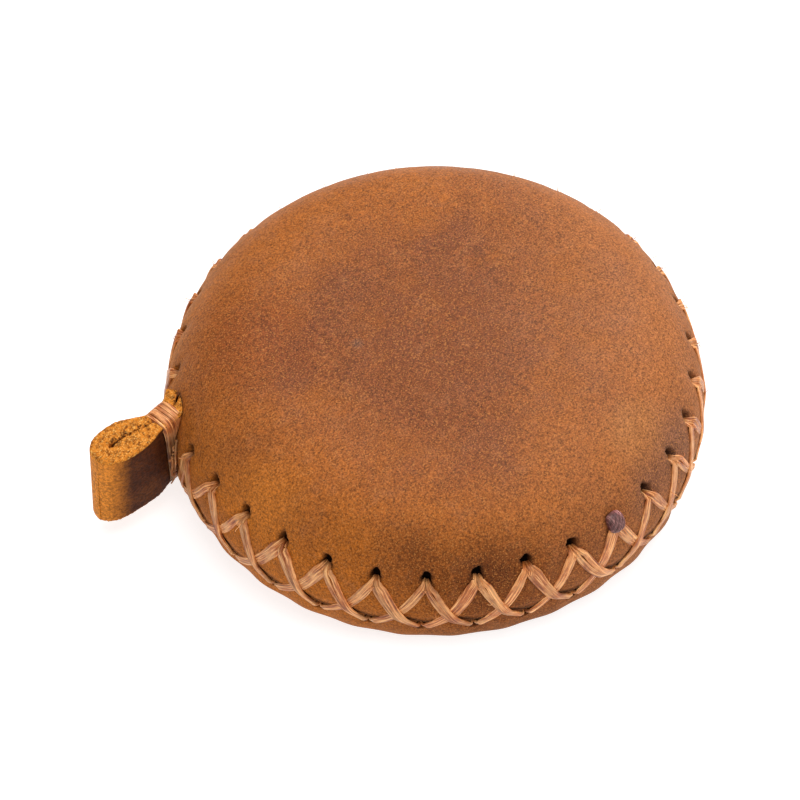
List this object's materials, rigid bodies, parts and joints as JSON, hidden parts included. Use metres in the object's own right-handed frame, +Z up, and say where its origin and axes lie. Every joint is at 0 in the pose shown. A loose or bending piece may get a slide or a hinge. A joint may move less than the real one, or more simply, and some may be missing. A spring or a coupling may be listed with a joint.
{
  "type": "retractable pocket tape reel",
  "caption": "Round pocket tape reel in a laced leather jacket, with a pull tab on the tape, a spring spool and a hidden brake button.",
  "frame": {"origin": "centre of the flat round base, on the surface the reel lies on", "axes": "+Z up through the reel's thickness, along the spool axle; the tape is pulled out along -X, at Y +17.7 mm, so the pull tab is at -X; +Y is the side that the tape leaves from"},
  "size_m": [0.0645, 0.0602, 0.018],
  "materials": {
    "saddle_leather": "oiled full-grain leather, brown with orange-tan rims",
    "tab_leather": "oiled leather with golden fibrous cut edges",
    "waxed_thread": "flat waxed thread, copper tan, fibrous",
    "sealed_thread": "melted thread end, dark red brown",
    "case_plastic": "moulded black plastic",
    "spool_plastic": "moulded off-white plastic",
    "tape_cloth": "coated fibreglass tape",
    "turned_brass": "turned",
    "plated_steel": "zinc plated",
    "spring_steel": "blued spring steel",
    "brake_rubber": "matte friction ring"
  },
  "bodies": {
    "reel": {"cover_top": "saddle_leather", "cover_bottom": "saddle_leather", "seam_lacing": "waxed_thread", "thread_knot": "sealed_thread", "case_top": "case_plastic", "case_bottom": "case_plastic", "case_screws": "plated_steel", "axle": "turned_brass", "spool_washer": "plated_steel"},
    "spool": {"spool_drum": "spool_plastic", "spool_cap": "spool_plastic", "spring_cover": "plated_steel", "mainspring": "spring_steel", "tape_coil": "tape_cloth", "tape_anchor": "spool_plastic"},
    "tape_end": {"tape_lead": "tape_cloth", "tape_end_clip": "plated_steel", "pull_tab": "tab_leather", "tab_whipping": "waxed_thread"},
    "brake_button": {"button": "case_plastic", "brake_plate": "plated_steel", "brake_ring": "brake_rubber", "button_spring": "spring_steel"}
  },
  "joints": [
    {"name": "tape_pull", "type": "slide", "parent": "reel", "child": "tape_end", "axis": [-1, 0, 0], "range_m": [0, 1.5], "deforming": ["tape_lead"]},
    {"name": "spool_spin", "type": "hinge", "parent": "reel", "child": "spool", "pos_m": [0, 0, 0.0086], "axis": [0, 0, 1], "range_deg": [0, 5596.9], "deforming": ["mainspring"]},
    {"name": "button_press", "type": "slide", "parent": "reel", "child": "brake_button", "axis": [0, 0, -1], "range_m": [0, 0.0008], "stiffness_N_per_m": 2500, "springref_m": -0.0008, "deforming": ["button_spring"]}
  ],
  "couplings": [
    {"joint": "spool_spin", "follows": "tape_pull", "rad_per_m": 65.1}
  ]
}
